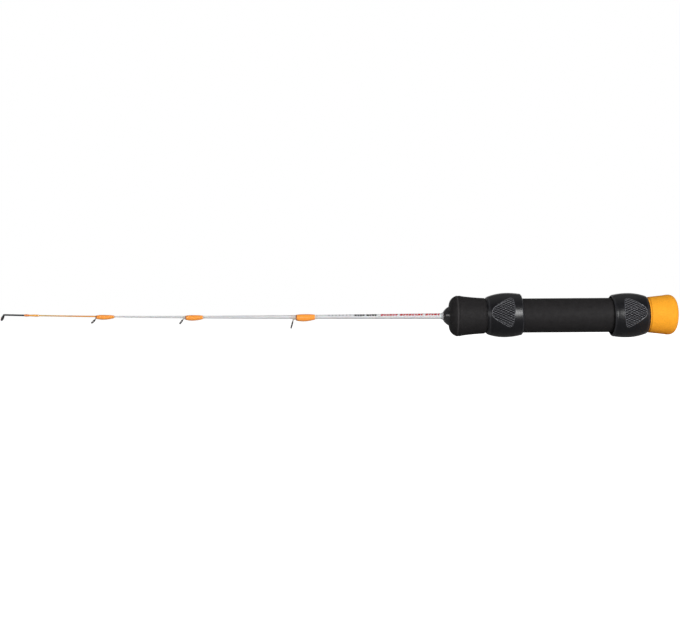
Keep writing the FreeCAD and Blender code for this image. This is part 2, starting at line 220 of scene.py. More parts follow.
def smooth_step(value, low, high):
    """0 up to low and 1 from high on, with a smooth change between them."""
    share = np.clip((value - low) / (high - low), 0.0, 1.0)
    return share * share * (3 - 2 * share)


# ---- Lines, grids and meshes ----
def hermite(points, step):
    """Points about every step along a smooth curve through the given ones."""
    p = np.array(points, float)
    at = np.concatenate([[0.0], np.cumsum(np.linalg.norm(np.diff(p, axis=0), axis=1))])
    slope = np.gradient(p, at, axis=0, edge_order=2 if len(p) > 2 else 1)
    place = np.linspace(0.0, at[-1], max(2, round(at[-1] / step) + 1))
    k = np.clip(np.searchsorted(at, place, side="right") - 1, 0, len(at) - 2)
    span = (at[k + 1] - at[k])[:, None]
    u = (place - at[k])[:, None] / span
    start = (1 + 2 * u) * (1 - u) ** 2 * p[k] + u * (1 - u) ** 2 * span * slope[k]
    end = u * u * (3 - 2 * u) * p[k + 1] + u * u * (u - 1) * span * slope[k + 1]
    return start + end


def smooth_line(points, step, corner=math.radians(25)):
    """A smooth line through points that keeps the corners sharper than the given turn."""
    stretches = [[points[0]]]
    for before, here, after in zip(points, points[1:], points[2:]):
        stretches[-1].append(here)
        if (Vector(here) - Vector(before)).angle(Vector(after) - Vector(here)) > corner:
            stretches.append([here])
    stretches[-1].append(points[-1])
    parts = [hermite(stretch, step) for stretch in stretches]
    return np.concatenate([parts[0]] + [part[1:] for part in parts[1:]])


def eased(line, passes):
    """The same line with its small corners eased and its two ends kept."""
    for _ in range(passes):
        line[1:-1] = (line[:-2] + 2 * line[1:-1] + line[2:]) / 4
    return line


def plane_points(node, place=Matrix.Identity(4)):
    """A turned CAD piece's outline as sorted (x, radius), from its vertices in the upright plane y = 0."""
    to_own = place.inverted()
    found = {}
    for vertex in nodes[node].data.vertices:
        x, y, z = to_own @ vertex.co
        if abs(y) < CLOSE_TO and z > -SAME_PLACE:
            found[(round(x / SAME_PLACE), round(z / SAME_PLACE))] = (x, max(z, 0.0))
    return sorted(found.values())


def line_normals(line):
    """Outward normals of a line of (x, radius) that runs towards +X along an outside."""
    tangent = np.gradient(line, axis=0)
    tangent /= np.maximum(np.linalg.norm(tangent, axis=1, keepdims=True), SAME_PLACE)
    return np.stack([-tangent[:, 1], tangent[:, 0]], -1)


def turned_grid(line, angles):
    """Points (row, column, 3) of a line of (x, radius) turned about X; angle 0 is +Y, a quarter turn +Z."""
    x = np.repeat(line[:, :1], len(angles), axis=1)
    return np.stack([x, line[:, 1:] * np.cos(angles), line[:, 1:] * np.sin(angles)], -1)


def even_angles(columns):
    """Angles of a full turn, without the last, which is the first again."""
    return np.linspace(0.0, FULL_TURN, columns, endpoint=False)


def grid_mesh(name, grid, closed_rows=False, sharp=SHARP_EDGE):
    """A mesh over a grid whose columns go all the way round; its end rows are poles unless they meet too."""
    rows, columns = grid.shape[:2]
    index = np.arange(rows * columns).reshape(rows, columns)
    if closed_rows:
        index = np.vstack([index, index[:1]])
    index = np.hstack([index, index[:, :1]])
    corners = [index[:-1, :-1], index[1:, :-1], index[1:, 1:], index[:-1, 1:]]
    mesh = bpy.data.meshes.new(name)
    mesh.from_pydata(grid.reshape(-1, 3).tolist(), [], np.stack(corners, -1).reshape(-1, 4).tolist())
    return tidy_mesh(mesh, not closed_rows, sharp)


def tidy_mesh(mesh, merge, sharp=SHARP_EDGE):
    """Turns the normals outwards and shades smooth between sharp edges; merge joins points in one place."""
    work = bmesh.new()
    work.from_mesh(mesh)
    if merge:
        bmesh.ops.remove_doubles(work, verts=work.verts, dist=SAME_PLACE)
    bmesh.ops.recalc_face_normals(work, faces=work.faces)
    work.to_mesh(mesh)
    work.free()
    mesh.shade_smooth()
    mesh.set_sharp_from_angle(angle=sharp)
    return mesh


def set_shares(mesh, name, values):
    """Keeps a value from -1 to 1 for each point of a mesh, for its material to read."""
    mesh.attributes.new(name, "FLOAT", "POINT").data.foreach_set("value", values)


def add_piece(name, mesh, material, body="rod", stands_for=()):
    """A visual piece that rides with a body, instead of the CAD nodes it stands for."""
    piece = bpy.data.objects.new(name, mesh)
    bpy.context.scene.collection.objects.link(piece)
    mesh.materials.append(material)
    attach(piece, body)
    if stands_for:
        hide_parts(*stands_for)
    return piece


# ---- Material helpers ----
def principled(name, colour, roughness, **sockets):
    """A new Principled material, its tree and its shader; sockets are named with underscores for spaces."""
    material = bpy.data.materials.new(name)
    material.use_nodes = True
    tree = material.node_tree
    shader = tree.nodes["Principled BSDF"]
    shader.inputs["Base Color"].default_value = (*colour, 1.0)
    shader.inputs["Roughness"].default_value = roughness
    for socket, value in sockets.items():
        shader.inputs[socket.replace("_", " ")].default_value = value
    return material, tree, shader


def place_in(tree, stretch=(1.0, 1.0, 1.0)):
    """Object coordinates, in metres of the frame, stretched along each axis."""
    source = tree.nodes.new("ShaderNodeTexCoord")
    mapping = tree.nodes.new("ShaderNodeMapping")
    mapping.inputs["Scale"].default_value = stretch
    tree.links.new(source.outputs["Object"], mapping.inputs["Vector"])
    return mapping.outputs["Vector"]


def noise_in(tree, vector, size, detail=3.0, roughness=0.55):
    """Noise whose blobs are about size metres across."""
    texture = tree.nodes.new("ShaderNodeTexNoise")
    texture.inputs["Scale"].default_value = 1.0 / size
    texture.inputs["Detail"].default_value = detail
    texture.inputs["Roughness"].default_value = roughness
    tree.links.new(vector, texture.inputs["Vector"])
    return texture.outputs["Fac"]


def cells_in(tree, vector, size):
    """Distance to the nearest of scattered points about size metres apart."""
    texture = tree.nodes.new("ShaderNodeTexVoronoi")
    texture.inputs["Scale"].default_value = 1.0 / size
    tree.links.new(vector, texture.inputs["Vector"])
    return texture.outputs["Distance"]


def attribute_in(tree, name):
    """What set_shares kept under a name."""
    source = tree.nodes.new("ShaderNodeAttribute")
    source.attribute_name = name
    return source.outputs["Fac"]


def mix_in(tree, factor, first, second):
    """Mix of two colours, each a socket or three numbers, by a factor socket."""
    mix = tree.nodes.new("ShaderNodeMix")
    mix.data_type = "RGBA"
    tree.links.new(factor, mix.inputs["Factor"])
    for name, value in (("A", first), ("B", second)):
        socket = next(s for s in mix.inputs if s.name == name and s.type == "RGBA")
        if isinstance(value, tuple):
            socket.default_value = (*value, 1.0)
        else:
            tree.links.new(value, socket)
    return next(s for s in mix.outputs if s.type == "RGBA")


def range_in(tree, value, zero_at, one_at):
    """0 to 1 as a value goes from one place to another."""
    node = tree.nodes.new("ShaderNodeMapRange")
    node.inputs["From Min"].default_value = zero_at
    node.inputs["From Max"].default_value = one_at
    tree.links.new(value, node.inputs["Value"])
    return node.outputs["Result"]


def shades_in(tree, factor, shades, low=0.3, high=0.7):
    """A colour or grey that goes from the first shade to the second as the factor goes from low to high."""
    ramp = tree.nodes.new("ShaderNodeValToRGB")
    for mark, place, shade in zip(ramp.color_ramp.elements, (low, high), shades):
        mark.position = place
        mark.color = (shade,) * 3 + (1.0,) if isinstance(shade, float) else (*shade, 1.0)
    tree.links.new(factor, ramp.inputs["Fac"])
    return ramp.outputs["Color"]


def colour_from(tree, shader, factor, shades, low=0.3, high=0.7):
    """Colours a shader from the darker to the lighter shade."""
    tree.links.new(shades_in(tree, factor, shades, low, high), shader.inputs["Base Color"])


def roughness_from(tree, shader, factor, rough, low=0.3, high=0.7):
    """Makes a shader's roughness go from the first value to the second."""
    tree.links.new(shades_in(tree, factor, rough, low, high), shader.inputs["Roughness"])


def bump_in(tree, shader, height, distance, strength, under=None):
    """A bump on the shader, over the bump under if one is given."""
    bump = tree.nodes.new("ShaderNodeBump")
    bump.inputs["Distance"].default_value = distance
    bump.inputs["Strength"].default_value = strength
    tree.links.new(height, bump.inputs["Height"])
    if under is not None:
        tree.links.new(under, bump.inputs["Normal"])
    tree.links.new(bump.outputs["Normal"], shader.inputs["Normal"])
    return bump.outputs["Normal"]


# ---- Materials ----
def foam_material(name, shades, shine):
    """Ground closed-cell foam: cut cells with painted shade in them, a fine nap, slow changes of shade, and a
    painted glint along the crest line.
    """
    darker, lighter = shades
    material, tree, shader = principled(name, lighter, 0.8, Specular_IOR_Level=shine)
    place = place_in(tree)
    slow = noise_in(tree, place, 4.0 * MM, detail=6.0, roughness=0.75)
    ground = shades_in(tree, slow, shades, low=0.34, high=0.66)
    cells = cells_in(tree, place, 0.50 * MM)
    # Painted shade in the cut cells of the foam.
    pit_shade = shades_in(tree, cells, (1.0, 0.0), low=0.10, high=0.34)
    pit_shaded = mix_in(tree, pit_shade, ground, tuple(PIT_SHADE_SHARE * c for c in darker))
    painted_glint = mix_in(tree, attribute_in(tree, "painted_glint"), pit_shaded, tuple(GLINT_SHARE * c for c in lighter))
    tree.links.new(painted_glint, shader.inputs["Base Color"])
    rough = noise_in(tree, place, 1.1 * MM)
    roughness_from(tree, shader, rough, (0.54, 0.78), low=0.25, high=0.75)
    nap = noise_in(tree, place, 0.30 * MM, detail=4.0, roughness=0.65)
    napped = bump_in(tree, shader, nap, distance=0.07 * MM, strength=0.6)
    bump_in(tree, shader, cells, distance=0.10 * MM, strength=0.6, under=napped)
    return material


def ring_material():
    """Moulded nylon: fine mould grain, a painted highlight on the net's ridges, its border and the ring's
    edges, dull in its dimples.
    """
    material, tree, shader = principled("ring_plastic", RING_PLASTIC[1], 0.32, Specular_IOR_Level=0.38)
    place = place_in(tree)
    mottle = noise_in(tree, place, 4.0 * MM, detail=4.0)
    relief = attribute_in(tree, "relief")
    # Where the shade is above 0 the colour goes over to the painted highlight.
    highlighted_plastic = mix_in(tree, relief, shades_in(tree, mottle, RING_PLASTIC), HIGHLIGHT_PLASTIC)
    tree.links.new(highlighted_plastic, shader.inputs["Base Color"])
    grain = noise_in(tree, place, 0.9 * MM, detail=4.0)
    depth = range_in(tree, relief, zero_at=0.0, one_at=-1.0)
    dulled = mix_in(tree, depth, shades_in(tree, grain, (0.27, 0.37)), DULL)
    tree.links.new(dulled, shader.inputs["Roughness"])
    bump_in(tree, shader, noise_in(tree, place, 0.18 * MM), distance=0.02 * MM, strength=0.30)
    return material


def nose_material():
    """Glossy moulded plastic with faint turning lines."""
    material, tree, shader = principled("nose_plastic", NOSE_PLASTIC, 0.2)
    lines = noise_in(tree, place_in(tree, stretch=(12.0, 1.0, 1.0)), 3.0 * MM)
    roughness_from(tree, shader, lines, (0.10, 0.20))
    bump_in(tree, shader, lines, distance=0.02 * MM, strength=0.20)
    return material


def blank_material(paint_end):
    """White fibreglass with long fibres under a thin gloss, painted from the tip to paint_end."""
    material, tree, shader = principled(
        "blank_fibreglass", GLASS_FIBRE[1], 0.32, Coat_Weight=0.35, Coat_Roughness=0.08,
        Subsurface_Weight=0.10, Subsurface_Scale=0.5 * MM,
    )
    fibres = noise_in(tree, place_in(tree, stretch=(0.02, 1.0, 1.0)), 0.35 * MM, detail=4.0, roughness=0.6)
    clouds = noise_in(tree, place_in(tree, stretch=(0.25, 1.0, 1.0)), 3.0 * MM)
    glass = shades_in(tree, fibres, GLASS_FIBRE, low=0.25, high=0.75)
    parts = tree.nodes.new("ShaderNodeSeparateXYZ")
    tree.links.new(place_in(tree), parts.inputs["Vector"])
    x = parts.outputs["X"]
    thinned = range_in(tree, x, zero_at=FULL_PAINT_X, one_at=THIN_PAINT_X)
    paint = mix_in(tree, thinned, shades_in(tree, clouds, ORANGE_PAINT), THIN_PAINT)
    painted = range_in(tree, x, zero_at=paint_end + PAINT_EDGE, one_at=paint_end - PAINT_EDGE)
    tree.links.new(mix_in(tree, painted, glass, paint), shader.inputs["Base Color"])
    roughness_from(tree, shader, clouds, (0.26, 0.38))
    bump_in(tree, shader, fibres, distance=0.02 * MM, strength=0.3)
    return material


def ink_material(name, shades):
    """Printed ink, slightly uneven."""
    material, tree, shader = principled(name, shades[1], 0.4, Specular_IOR_Level=0.2)
    ink = noise_in(tree, place_in(tree), 0.35 * MM)
    colour_from(tree, shader, ink, shades, high=0.6)
    roughness_from(tree, shader, ink, (0.30, 0.50))
    return material


def thread_material(name, shades):
    """Wound nylon thread: strands of slightly different shade with a silky sheen."""
    material, tree, shader = principled(
        name, shades[1], 0.42, Specular_IOR_Level=0.3, Sheen_Weight=0.10,
        Coat_Weight=0.2, Coat_Roughness=0.10,
    )
    strands = noise_in(tree, place_in(tree, stretch=(1.0, 0.12, 0.12)), 0.2 * MM)
    colour_from(tree, shader, strands, shades, high=0.65)
    roughness_from(tree, shader, strands, (0.35, 0.52))
    fibre = noise_in(tree, place_in(tree), 0.05 * MM, detail=2.0)
    bump_in(tree, shader, fibre, distance=0.01 * MM, strength=0.4)
    return material


def epoxy_material(name, shades, cover):
    """Clear rod finish: glossy, tinted, a little uneven; cover is how much it hides of what lies under it."""
    material, tree, shader = principled(name, shades[1], 0.05, Alpha=cover, IOR=1.5)
    waves = noise_in(tree, place_in(tree), 1.6 * MM, detail=2.0)
    colour_from(tree, shader, waves, shades)
    roughness_from(tree, shader, waves, (0.02, 0.07))
    bump_in(tree, shader, waves, distance=0.03 * MM, strength=0.3)
    return material


def metal_material(name, shades, rough, metallic, size):
    """Wire or sheet with fine drawn lines, bare or painted; rough is its least and most roughness."""
    material, tree, shader = principled(name, shades[1], rough[0], Metallic=metallic)
    lines = noise_in(tree, place_in(tree, stretch=(0.4, 1.0, 1.0)), size, detail=4.0, roughness=0.6)
    colour_from(tree, shader, lines, shades)
    roughness_from(tree, shader, lines, rough)
    bump_in(tree, shader, lines, distance=0.01 * MM, strength=0.35)
    return material


def inner_material(name, shades, roughness):
    """Mottled plastic or resin inside the handle."""
    material, tree, shader = principled(name, shades[1], roughness)
    mottle = noise_in(tree, place_in(tree), 1.2 * MM, detail=4.0)
    colour_from(tree, shader, mottle, shades)
    bump_in(tree, shader, mottle, distance=0.05 * MM, strength=0.4)
    return material


# ---- Blank ----
def bow_height(x):
    """Height of the blank's axis: straight in the handle, then a bend that tightens towards the tip."""
    return BOW_RISE * (np.maximum(BLANK_TAPER_END_X - x, 0.0) / BOW_LENGTH) ** 3


def blank_radius(x):
    """Radius of the blank's taper: slow from the tip, then quicker up to the handle."""
    return np.interp(x, [BLANK_TIP_X, BLANK_SLIM_X, BLANK_TAPER_END_X], [BLANK_TIP_R, BLANK_SLIM_R, BLANK_R])


def make_blank(material):
    """The blank as one turned piece along its bow."""
    low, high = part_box("blank")
    x = np.linspace(low.x, high.x, round((high.x - low.x) / BLANK_ROW_STEP))
    line = np.stack([x, blank_radius(x)], -1)
    line = np.concatenate([[(low.x, 0.0)], line, [(high.x, 0.0)]])
    grid = turned_grid(line, even_angles(BLANK_COLUMNS))
    grid[:, :, 2] += bow_height(line[:, :1])
    mesh = grid_mesh("blank_rod", grid)
    return add_piece("blank_rod", mesh, material, stands_for=["blank"])


def bar_points(start, width, height, slant):
    """Points of a thin printed bar on the blank's upper front, its outer sheet before its inner one."""
    points = []
    for lift in (MARK_LIFT, -MARK_LIFT):
        for i in range(MARK_ROWS):
            for j in range(MARK_COLUMNS):
                up = (j / (MARK_COLUMNS - 1) - 0.5) * height
                x = start + width * i / (MARK_ROWS - 1) + slant * up / height
                surface = float(blank_radius(x))
                turn = math.pi - MARK_TURN - up / surface
                out = surface + lift
                points.append((x, out * math.cos(turn), float(bow_height(x)) + out * math.sin(turn)))
    return points


def bar_faces():
    """Faces of a printed bar: its two sheets and the rim between them."""
    faces = []
    sheet = MARK_ROWS * MARK_COLUMNS
    for i in range(MARK_ROWS - 1):
        for j in range(MARK_COLUMNS - 1):
            a = i * MARK_COLUMNS + j
            quad = (a, a + 1, a + MARK_COLUMNS + 1, a + MARK_COLUMNS)
            faces.append(quad)
            faces.append(tuple(sheet + k for k in reversed(quad)))
    index = np.arange(sheet).reshape(MARK_ROWS, MARK_COLUMNS)
    rim = [*index[0], *index[1:, -1], *index[-1, -2::-1], *index[-2:0:-1, 0]]
    for a, b in zip(rim, rim[1:] + rim[:1]):
        faces.append((b, a, sheet + a, sheet + b))
    return faces


def make_marks(name, bars, material):
    """One piece of many printed bars, each (start, width, height, slant)."""
    points, faces = [], []
    for bar in bars:
        faces += [tuple(int(k) + len(points) for k in face) for face in bar_faces()]
        points += bar_points(*bar)
    mesh = bpy.data.meshes.new(name)
    mesh.from_pydata(points, [], faces)
    return add_piece(name, tidy_mesh(mesh, False), material)


def mark_row(before_nose, groups, gap, group_gap, height, slant=0.0):
    """A row of bars, given as groups of widths, that starts at a distance before the nose."""
    bars = []
    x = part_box("nose_bead")[0].x - before_nose
    for widths in groups:
        for width in widths:
            bars.append((x, width, height, slant))
            x += width + gap
        x += group_gap
    return bars


def make_printed_rows():
    """A grey scale, a row of black blocks and groups of slanted red bars."""
    scale = mark_row(SCALE_START, [SCALE_TICKS], SCALE_GAP, 0.0, SCALE_HEIGHT)
    make_marks("blank_scale_marks", scale, ink_material("grey_ink", GREY_INK))
    blocks = mark_row(BLOCK_START, [BLOCK_WIDTHS] * BLOCK_GROUPS, *BLOCK_GAPS, BLOCK_HEIGHT)
    make_marks("blank_black_marks", blocks, ink_material("black_ink", BLACK_INK))
    groups = [[BAR_WIDTHS[k % len(BAR_WIDTHS)] for k in range(count)] for count in BAR_COUNTS]
    bars = mark_row(BAR_START, groups, *BAR_GAPS, BAR_HEIGHT, BAR_SLANT)
    make_marks("blank_red_marks", bars, ink_material("red_ink", RED_INK))


# ---- Foam ----
def foam_stray(point, depth):
    """How far ground foam strays from a true turned surface at a point."""
    wave = noise.noise(point / FOAM_WAVE[0]) * FOAM_WAVE[1]
    grain = noise.noise(point / FOAM_GRAIN[0]) * FOAM_GRAIN[1]
    return (wave + grain) * depth


def foam_grid(line, still):
    """A turned foam body; still is each row's share of the ground surface's waves that it is spared."""
    normals = line_normals(line)
    grid = turned_grid(line, even_angles(FOAM_COLUMNS))
    turned_normals = turned_grid(normals, even_angles(FOAM_COLUMNS))
    for row, depth in enumerate(1.0 - still):
        if depth > 0:
            for column in range(FOAM_COLUMNS):
                point = Vector(grid[row, column])
                grid[row, column] += turned_normals[row, column] * foam_stray(point, depth)
    return grid


def make_main_grip(material):
    """The black grip, with its turning mark on the crest at the front."""
    low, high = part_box("main_grip")
    outer = [point for point in plane_points("main_grip") if point[1] > GRIP_BORE_R + MM]
    line = smooth_line([(low.x, GRIP_BORE_R)] + outer + [(high.x, GRIP_BORE_R)], FOAM_STEP)
    front_third = line[: len(line) // 3]
    crest_x = front_third[front_third[:, 1].argmax(), 0]
    for place, width, height in (CREST_BEAD, CREST_GROOVE):
        off = (line[:, 0] - crest_x - place) / width
        line[:, 1] += height * np.exp(-(off ** 2)) * (line[:, 1] > GRIP_BORE_R * 2)
    bore = smooth_line([(high.x, GRIP_BORE_R), (low.x, GRIP_BORE_R)], GRIP_BORE_STEP)[1:-1]
    still = 1.0 - smooth_step(line[:, 1], 2 * GRIP_BORE_R, 3 * GRIP_BORE_R)
    still = np.maximum(still, smooth_step(line[:, 0], high.x - SEAM_CALM[1], high.x - SEAM_CALM[0]))
    grid = foam_grid(np.concatenate([line, bore]), np.concatenate([still, np.ones(len(bore))]))
    mesh = grid_mesh("main_grip_foam", grid, closed_rows=True)
    # A painted glint along the turning mark on the crest, where it catches the light.
    place, width, _ = CREST_BEAD
    painted_glint = [math.exp(-(((v.co.x - crest_x - place) / width) ** 2)) for v in mesh.vertices]
    set_shares(mesh, "painted_glint", painted_glint)
    return add_piece("main_grip_foam", mesh, material, stands_for=["main_grip"])


def make_butt_grip(material):
    """The orange grip, whose bore ends inside it."""
    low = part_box("butt_grip")[0]
    bore_end = max(x for x, r in plane_points("butt_grip") if abs(r - GRIP_BORE_R) < CLOSE_TO)
    outer = [(x, r) for x, r in plane_points("butt_grip") if r > GRIP_BORE_R + MM or x > bore_end + MM]
    line = smooth_line([(low.x, GRIP_BORE_R)] + outer, FOAM_STEP)
    bore = smooth_line([(bore_end, 0.0), (bore_end, GRIP_BORE_R), (low.x, GRIP_BORE_R)], GRIP_BORE_STEP)[:-1]
    still = smooth_step(line[:, 0], low.x + SEAM_CALM[1], low.x + SEAM_CALM[0])
    grid = foam_grid(np.concatenate([bore, line]), np.concatenate([np.ones(len(bore)), still]))
    mesh = grid_mesh("butt_grip_foam", grid)
    return add_piece("butt_grip_foam", mesh, material, stands_for=["butt_grip"])


# ---- Clamp rings ----
def ring_place(end, cant):
    """From a ring's own frame to its seat on the handle; end is -1 for the front ring and 1 for the rear."""
    facing = Matrix.Rotation(math.pi if end > 0 else 0.0, 4, "Z")
    seat = Matrix.Translation((end * RING_NARROW_END, 0.0, 0.0))
    pivot = Matrix.Translation((end * (RING_NARROW_END - RING_LAND / 2), 0.0, 0.0))
    lean = pivot @ Matrix.Rotation(-cant, 4, "Y") @ pivot.inverted()
    return lean @ seat @ facing


def ring_angles(middles):
    """Angles round a ring, close together over its patches and wider apart between them."""
    half = (PATCH_HALF_WIDTH + 2 * BORDER[1]) / PATCH_R
    stretches = []
    for middle, following in zip(middles, (middles[1], middles[0] + FULL_TURN)):
        fine = round(2 * half / RING_FINE_TURN)
        coarse = round((following - middle - 2 * half) / RING_COARSE_TURN)
        stretches.append(np.linspace(middle - half, middle + half, fine, endpoint=False))
        stretches.append(np.linspace(middle + half, following - half, coarse, endpoint=False))
    return np.concatenate(stretches)


def patch_distance(along, around):
    """Distance outside the patch's edge, negative inside it."""
    edge = -math.inf
    for turn in even_angles(PATCH_DIRECTIONS):
        reach = max(a * math.cos(turn) + b * math.sin(turn) + r for a, b, r in PATCH_DISCS)
        edge = np.maximum(edge, along * math.cos(turn) + around * math.sin(turn) - reach)
    return edge


def net_shares(along, around):
    """How far a point is up each of the net's two families of ridges, from 0 in a dimple to 1 on top."""
    spacing = 1 / math.hypot(1 / NET_CELL[0], 1 / NET_CELL[1])
    shares = []
    for side in (1, -1):
        turns = along / NET_CELL[0] + side * around / NET_CELL[1]
        off = np.abs(turns - np.round(turns)) * spacing
        shares.append(1.0 - smooth_step(off, *NET_HALF_WIDTH))
    return shares


def ring_relief(along, around):
    """Height over a ring's plain outside, and its shade: 0 plain, above 0 a painted highlight, below 0 in a
    dimple.
    """
    edge = patch_distance(along, around)
    inset, half_width, height = BORDER
    border = 1.0 - smooth_step(np.abs(edge + inset), half_width * BORDER_TOP, half_width)
    inside = smooth_step(-edge, inset + half_width * NET_EDGE[0], inset + half_width * NET_EDGE[1])
    first, second = net_shares(along, around)
    net = np.maximum(first, second)
    crossing = np.minimum(first, second)
    raised = border * height + inside * (net * NET_RIDGE - NET_DEPTH)
    # Painted highlight on the ridges, stronger where two cross.
    net_highlight = inside * (net * NET_HIGHLIGHT[0] + crossing * NET_HIGHLIGHT[1])
    shade = np.maximum(border * BORDER_HIGHLIGHT, net_highlight) - inside * (1.0 - net)
    return raised, shade


def ring_outline(name, place):
    """A ring's outside as a line from its narrow end to its mouth, and its inside back from there."""
    bore = [(x * MM, r * MM) for x, r in RING_BORE]
    bore_x, bore_r = zip(*bore)
    outer = [(x, r) for x, r in plane_points(name, place) if r > np.interp(x, bore_x, bore_r) + RING_WALL]
    outside = eased(smooth_line(outer, RING_STEP), RING_EASE)
    inside = smooth_line([outer[-1]] + bore[::-1] + [outer[0]], RING_BORE_STEP)[1:-1]
    return outside, inside


def make_ring(name, end, material):
    """A clamp ring with a net on its visible side and another opposite; end is as for ring_place."""
    place = ring_place(end, RING_CANT[name])
    outside, inside = ring_outline(name, place)
    first = math.pi - PATCH_UP if end < 0 else PATCH_UP
    middles = sorted((first % FULL_TURN, (first + math.pi) % FULL_TURN))
    angles = ring_angles(middles)
    grid = turned_grid(np.concatenate([outside, inside]), angles)
    relief = np.zeros(grid.shape[:2])
    normals = turned_grid(line_normals(outside), angles)
    rows = len(outside)
    step_start, step_end, step_height = COLLAR
    sunk = step_height * (1.0 - smooth_step(outside[:, :1], step_start, step_end))
    grid[:rows] -= normals * sunk[:, :, None]
    for middle in middles:
        off = (angles - middle + math.pi) % FULL_TURN - math.pi
        near = np.abs(off) < math.pi / 2
        around = off[near][None, :] * PATCH_R
        height, shade = ring_relief(outside[:, :1] + PATCH_SHEAR[name] * around, around)
        grid[:rows, near] += normals[:, near] * height[:, :, None]
        relief[:rows, near] = shade
    # Painted highlight along both ends' edges, where the rounded edges catch the light.
    for at, width, share in EDGE_HIGHLIGHT:
        painted_glint = share * np.exp(-(((outside[:, :1] - at) / width) ** 2))
        relief[:rows] = np.where(relief[:rows] >= 0, np.maximum(relief[:rows], painted_glint), relief[:rows])
    world = np.array(place)
    grid = grid @ world[:3, :3].T + world[:3, 3]
    mesh = grid_mesh(name + "_shell", grid, closed_rows=True, sharp=SHARP_RING_EDGE)
    set_shares(mesh, "relief", relief.ravel().astype(np.float32))
    return add_piece(name + "_shell", mesh, material, name, [name])


# ---- Thread and epoxy on the guides and the tip-top ----
def outside_of(node):
    """A function of x and angle that gives the distance from the blank's axis to a CAD piece's outside."""
    data = nodes[node].data
    tree = BVHTree.FromPolygons([v.co for v in data.vertices], [p.vertices for p in data.polygons])

    def distance(x, angle):
        middle = Vector((x, 0.0, float(bow_height(x))))
        outwards = Vector((0.0, math.cos(angle), math.sin(angle)))
        hit = tree.ray_cast(middle + outwards * SKIN_REACH, -outwards)[0]
        return (hit - middle).length if hit else float(blank_radius(x))

    return distance


def skin_over(node, x, columns):
    """Distances from the blank's axis to a CAD piece's outside, by row and column, its facets smoothed."""
    distance = outside_of(node)
    angles = even_angles(columns)
    field = np.array([[distance(place, angle) for angle in angles] for place in x])
    for _ in range(SKIN_PASSES):
        field = (field + np.roll(field, 1, 1) + np.roll(field, -1, 1)) / 3
        field[1:-1] = (field[:-2] + field[1:-1] + field[2:]) / 3
    return field


def around_blank(x, field):
    """Grid of a skin at distances field from the blank's bowed axis, closed at both ends by a pole."""
    angles = even_angles(field.shape[1])
    across = np.repeat(x[:, None], len(angles), 1)
    rows = np.stack([across, field * np.cos(angles), field * np.sin(angles)], -1)
    rows[:, :, 2] += bow_height(x)[:, None]
    ends = []
    for place in (x[0], x[-1]):
        ends.append(np.repeat([[place, 0.0, float(bow_height(place))]], len(angles), 0)[None])
    return np.concatenate([ends[0], rows, ends[1]])


def make_thread(name, node, materials, trim_turns):
    """Thread wound turn by turn over the shape of the CAD wrap, its first turns in the trim colour."""
    low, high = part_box(node)
    turns = round((high.x - low.x) / THREAD_PITCH)
    x = np.linspace(low.x, high.x, turns * THREAD_SAMPLES + 1)
    inner = np.clip(x, low.x + THREAD_PITCH, high.x - THREAD_PITCH)
    field = skin_over(node, inner, THREAD_COLUMNS)
    wound = (x[:, None] - low.x) / THREAD_PITCH + even_angles(THREAD_COLUMNS) / FULL_TURN
    field -= THREAD_DEPTH * (1.0 - np.abs(np.sin(math.pi * wound)))
    mesh = grid_mesh(name, around_blank(x, field), sharp=SHARP_THREAD_EDGE)
    piece = add_piece(name, mesh, materials[0], stands_for=[node])
    mesh.materials.append(materials[1])
    trim_end = low.x + trim_turns * THREAD_PITCH
    for face in mesh.polygons:
        face.material_index = int(face.center.x < trim_end)
    return piece


def make_coat(name, node, material):
    """Clear epoxy over thread and foot, thinned to nothing at its two ends."""
    low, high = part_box(node)
    x = np.linspace(low.x, high.x, round((high.x - low.x) / COAT_STEP))
    inner = np.clip(x, low.x + COAT_STEP, high.x - COAT_STEP)
    field = skin_over(node, inner, COAT_COLUMNS)
    angles = even_angles(COAT_COLUMNS)
    for row, place in enumerate(x):
        for column, angle in enumerate(angles):
            spot = Vector((place, math.cos(angle) * field[row, column], math.sin(angle) * field[row, column]))
            field[row, column] += noise.noise(spot / COAT_WAVE[0]) * COAT_WAVE[1]
    to_end = np.minimum(x - low.x, high.x - x)[:, None]
    bare = blank_radius(x)[:, None]
    field = bare + (field - bare) * np.sqrt(np.clip(to_end / COAT_END, 0.0, 1.0))
    mesh = grid_mesh(name, around_blank(x, field))
    return add_piece(name, mesh, material, stands_for=[node])


# ---- Studio ----
def middle_x():
    """Halfway along the whole rod."""
    return (cad_box[0].x + cad_box[1].x) / 2


def make_camera():
    """A long view from the side, as far off as CAMERA_DISTANCE, that takes in VIEW_WIDTH at the rod."""
    data = bpy.data.cameras.new("camera")
    data.sensor_width = SENSOR_WIDTH
    data.lens = SENSOR_WIDTH * CAMERA_DISTANCE / VIEW_WIDTH
    data.clip_start = CLIP_START
    camera = bpy.data.objects.new("camera", data)
    bpy.context.scene.collection.objects.link(camera)
    camera.location = (middle_x() + CAMERA_RIGHT_OF_MIDDLE, -CAMERA_DISTANCE, CAMERA_HEIGHT)
    camera.rotation_euler = (math.pi / 2, CAMERA_ROLL, 0.0)
    bpy.context.scene.camera = camera


def light_path_mix(tree, seen, unseen, output):
    """One shader for what the camera sees directly and another for what lights the rod and shows in it."""
    path = tree.nodes.new("ShaderNodeLightPath")
    mix = tree.nodes.new("ShaderNodeMixShader")
    tree.links.new(path.outputs["Is Camera Ray"], mix.inputs[0])
    tree.links.new(unseen, mix.inputs[1])
    tree.links.new(seen, mix.inputs[2])
    tree.links.new(mix.outputs[0], output)


